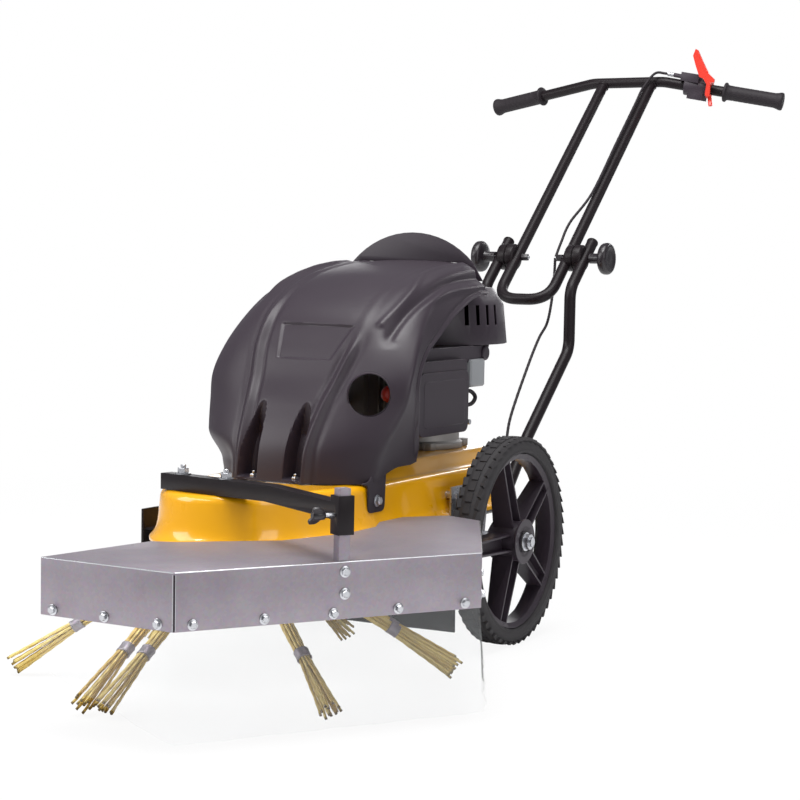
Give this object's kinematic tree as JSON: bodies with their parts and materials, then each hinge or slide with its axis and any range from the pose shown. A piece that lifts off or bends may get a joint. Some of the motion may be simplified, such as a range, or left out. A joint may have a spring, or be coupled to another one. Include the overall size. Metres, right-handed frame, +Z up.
{
  "type": "patio weed brush",
  "caption": "Walk-behind petrol weed brush with a horizontal wire tuft rotor, a one sided guard with a clear skirt, a hooded engine, spoked wheels and a clamped handle.",
  "frame": {"origin": "on the ground, under the middle of the bounding box", "axes": "+X to the operator's left, +Y from the brush back to the handle, +Z up"},
  "size_m": [0.7948, 1.9954, 1.0855],
  "materials": {
    "yellow_paint": "gloss powder coat",
    "black_plastic": "fine moulded grain",
    "black_paint": "satin powder coat",
    "tube_paint": "satin black powder coat",
    "rubber": "matt",
    "tyre": "matt",
    "zinc": "zinc plated",
    "guard_sheet": "bare galvanised sheet",
    "cast_aluminium": "as cast",
    "steel": "machined",
    "clear_film": "clear soft film",
    "coated_wire": "coated wire",
    "red_plastic": "gloss",
    "grey_plastic": "satin"
  },
  "bodies": {
    "chassis": {"deck": "yellow_paint", "base_plate": "black_paint", "rear_flap": "rubber", "hood": "black_plastic", "rear_shield": "black_plastic", "crankcase": "cast_aluminium", "cylinder": "cast_aluminium", "blower_cover": "black_plastic", "recoil_starter": "black_plastic", "fuel_tank": "black_plastic", "air_filter_cover": "black_plastic", "carburettor": "cast_aluminium", "muffler": "steel", "breather_hose": "rubber", "governor_bracket": "zinc", "spark_plug": "black_plastic", "control_box": "grey_plastic", "axle": "zinc", "axle_bracket_left": "zinc", "axle_bracket_right": "zinc", "lower_tube_left": "tube_paint", "lower_tube_right": "tube_paint", "guard_arm": "tube_paint", "arm_bolt_far": "zinc", "arm_bolt_near": "zinc", "spindle_housing": "cast_aluminium", "spindle_bearing": "steel", "drive_belt": "rubber", "lower_cable": "rubber"},
    "handle": {"handle_frame": "tube_paint", "grip_left": "rubber", "grip_right": "rubber", "lever_housing": "black_plastic", "upper_cable": "rubber"},
    "lever": {"control_lever": "red_plastic"},
    "clamp_left": {"clamp_knob_left": "black_plastic"},
    "clamp_right": {"clamp_knob_right": "black_plastic"},
    "wheel_left": {"tyre_left": "tyre", "rim_left": "black_plastic"},
    "wheel_right": {"tyre_right": "tyre", "rim_right": "black_plastic"},
    "brush": {"brush_spindle": "steel", "brush_pulley": "cast_aluminium", "brush_plate": "black_paint", "tuft_1": "coated_wire", "tuft_2": "coated_wire", "tuft_3": "coated_wire", "tuft_4": "coated_wire", "tuft_5": "coated_wire", "tuft_6": "coated_wire", "tuft_7": "coated_wire", "tuft_8": "coated_wire"},
    "crank": {"crank_pulley": "steel"},
    "guard": {"guard_sheet": "guard_sheet", "guard_post": "zinc", "guard_skirt": "clear_film"},
    "guard_clamp": {"guard_knob": "black_plastic"},
    "starter": {"starter_grip": "black_plastic"},
    "primer": {"primer_bulb": "red_plastic"}
  },
  "joints": [
    {"name": "handle_tilt", "type": "hinge", "parent": "chassis", "child": "handle", "pos_m": [-0.05755, 0.52853, 0.647], "axis": [1, 0, 0], "range_deg": [-12, 12]},
    {"name": "lever_pull", "type": "hinge", "parent": "handle", "child": "lever", "pos_m": [0.11979, 0.95571, 1.00387], "axis": [0.9734, 0.1519, -0.1713], "range_deg": [-40, 0], "stiffness_Nm_per_rad": 1.2, "springref_deg": 11.46},
    {"name": "clamp_turn_left", "type": "hinge", "parent": "chassis", "child": "clamp_left", "pos_m": [0.03345, 0.52853, 0.647], "axis": [1, 0, 0], "continuous": true},
    {"name": "clamp_turn_right", "type": "hinge", "parent": "chassis", "child": "clamp_right", "pos_m": [-0.14855, 0.52853, 0.647], "axis": [-1, 0, 0], "continuous": true},
    {"name": "wheel_roll_left", "type": "hinge", "parent": "chassis", "child": "wheel_left", "pos_m": [0.16945, -0.06447, 0.175], "axis": [1, 0, 0], "continuous": true},
    {"name": "wheel_roll_right", "type": "hinge", "parent": "chassis", "child": "wheel_right", "pos_m": [-0.28455, -0.06447, 0.175], "axis": [1, 0, 0], "continuous": true},
    {"name": "brush_spin", "type": "hinge", "parent": "chassis", "child": "brush", "pos_m": [-0.05755, -0.54747, 0.2], "axis": [0, 0, 1], "continuous": true},
    {"name": "crank_spin", "type": "hinge", "parent": "chassis", "child": "crank", "pos_m": [-0.05755, 0.01553, 0.262], "axis": [0, 0, 1], "continuous": true},
    {"name": "guard_height", "type": "slide", "parent": "chassis", "child": "guard", "axis": [0, 0, 1], "range_m": [-0.008, 0.03]},
    {"name": "guard_clamp_turn", "type": "hinge", "parent": "chassis", "child": "guard_clamp", "pos_m": [0.25424, -0.77543, 0.3], "axis": [-0.5296, -0.8482, 0], "continuous": true},
    {"name": "starter_pull", "type": "slide", "parent": "chassis", "child": "starter", "axis": [0, 1, 0], "range_m": [0, 0.34], "stiffness_N_per_m": 40, "springref_m": -0.2},
    {"name": "primer_push", "type": "slide", "parent": "chassis", "child": "primer", "axis": [-0.5728, 0.8197, 0], "range_m": [0, 0.006], "stiffness_N_per_m": 600, "springref_m": -0.002}
  ],
  "couplings": [
    {"joint": "crank_spin", "follows": "brush_spin", "ratio": 2}
  ]
}
